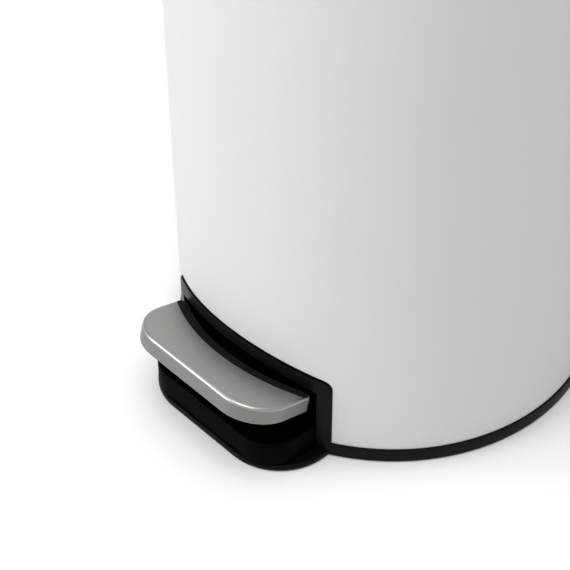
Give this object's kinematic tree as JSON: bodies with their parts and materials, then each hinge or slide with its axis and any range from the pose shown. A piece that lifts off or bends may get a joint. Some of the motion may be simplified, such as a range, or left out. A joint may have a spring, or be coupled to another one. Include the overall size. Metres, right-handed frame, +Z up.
{
  "type": "pedal bin",
  "caption": "Tall round pedal bin with a painted steel body, domed soft-close lid, brushed steel foot pedal and lift-out bucket.",
  "frame": {"origin": "on the body's axis, on the floor, at the bottom centre of the bounding box", "axes": "+Z up along the body's axis; the pedal faces -Y and the lid is hinged at +Y; +X is to the right seen from the front"},
  "size_m": [0.3028, 0.3848, 0.6393],
  "materials": {
    "white_enamel": "smooth white powder coat, satin to gloss",
    "black_plastic": "fine-textured satin black moulding",
    "grey_plastic": "dark grey moulding",
    "bucket_plastic": "smooth dark polypropylene",
    "pan_plastic": "plain black moulding",
    "nylon": "natural nylon",
    "rubber": "soft black rubber",
    "brushed_stainless": "brushed stainless steel, grain across the pedal",
    "zinc_steel": "bright zinc-plated steel",
    "spring_steel": "drawn spring wire"
  },
  "bodies": {
    "can": {"body_shell": "white_enamel", "base_ring": "black_plastic", "base_pan": "pan_plastic", "pedal_surround": "black_plastic", "pedal_foot": "black_plastic", "rubber_feet": "rubber", "pedal_stops": "rubber", "base_screws": "zinc_steel", "pedal_pivot_pin": "zinc_steel", "pivot_clip": "zinc_steel", "pedal_bracket": "zinc_steel", "bracket_screws": "zinc_steel", "damper_cylinder": "pan_plastic", "damper_clip": "nylon", "lower_rod_guide": "nylon", "middle_rod_guide": "nylon", "upper_rod_guide": "nylon", "top_collar": "black_plastic", "lid_bumpers": "rubber", "hinge_plate": "zinc_steel", "hinge_housing": "black_plastic", "housing_screws": "zinc_steel", "hinge_pin": "zinc_steel", "carry_handle": "black_plastic", "handle_screws": "zinc_steel"},
    "pedal": {"pedal_cover": "brushed_stainless", "pedal_core": "pan_plastic", "pedal_lever": "zinc_steel", "pedal_rivets": "zinc_steel", "pivot_bushes": "nylon"},
    "rod": {"lift_rod": "zinc_steel", "rod_foot": "nylon", "rod_foot_pin": "zinc_steel", "rod_head": "nylon", "rod_head_pin": "zinc_steel", "damper_arm": "zinc_steel", "damper_rod": "zinc_steel", "return_spring": "spring_steel"},
    "lid": {"lid_shell": "white_enamel", "lid_liner": "grey_plastic", "lid_hinge_block": "pan_plastic", "lid_screws": "zinc_steel"},
    "bucket": {"inner_bucket": "bucket_plastic"},
    "bail": {"bucket_bail": "zinc_steel", "bail_grip": "black_plastic"}
  },
  "joints": [
    {"name": "lid_hinge", "type": "hinge", "parent": "can", "child": "lid", "pos_m": [0, 0.1609, 0.602], "axis": [-1, 0, 0], "range_deg": [0, 78]},
    {"name": "pedal_press", "type": "hinge", "parent": "can", "child": "pedal", "pos_m": [0, -0.055, 0.0361], "axis": [1, 0, 0], "range_deg": [0, 10.45]},
    {"name": "rod_lift", "type": "slide", "parent": "can", "child": "rod", "axis": [0, 0, 1], "range_m": [0, 0.0355], "deforming": ["return_spring"]},
    {"name": "bucket_lift", "type": "slide", "parent": "can", "child": "bucket", "axis": [0, 0, 1], "range_m": [0, 0.008]},
    {"name": "bail_swing", "type": "hinge", "parent": "bucket", "child": "bail", "pos_m": [0, 0, 0.5675], "axis": [-1, 0, 0], "range_deg": [0, 7]}
  ],
  "couplings": [
    {"joint": "pedal_press", "follows": "lid_hinge", "ratio": 0.13333},
    {"joint": "rod_lift", "follows": "lid_hinge", "m_per_rad": 0.025967}
  ]
}
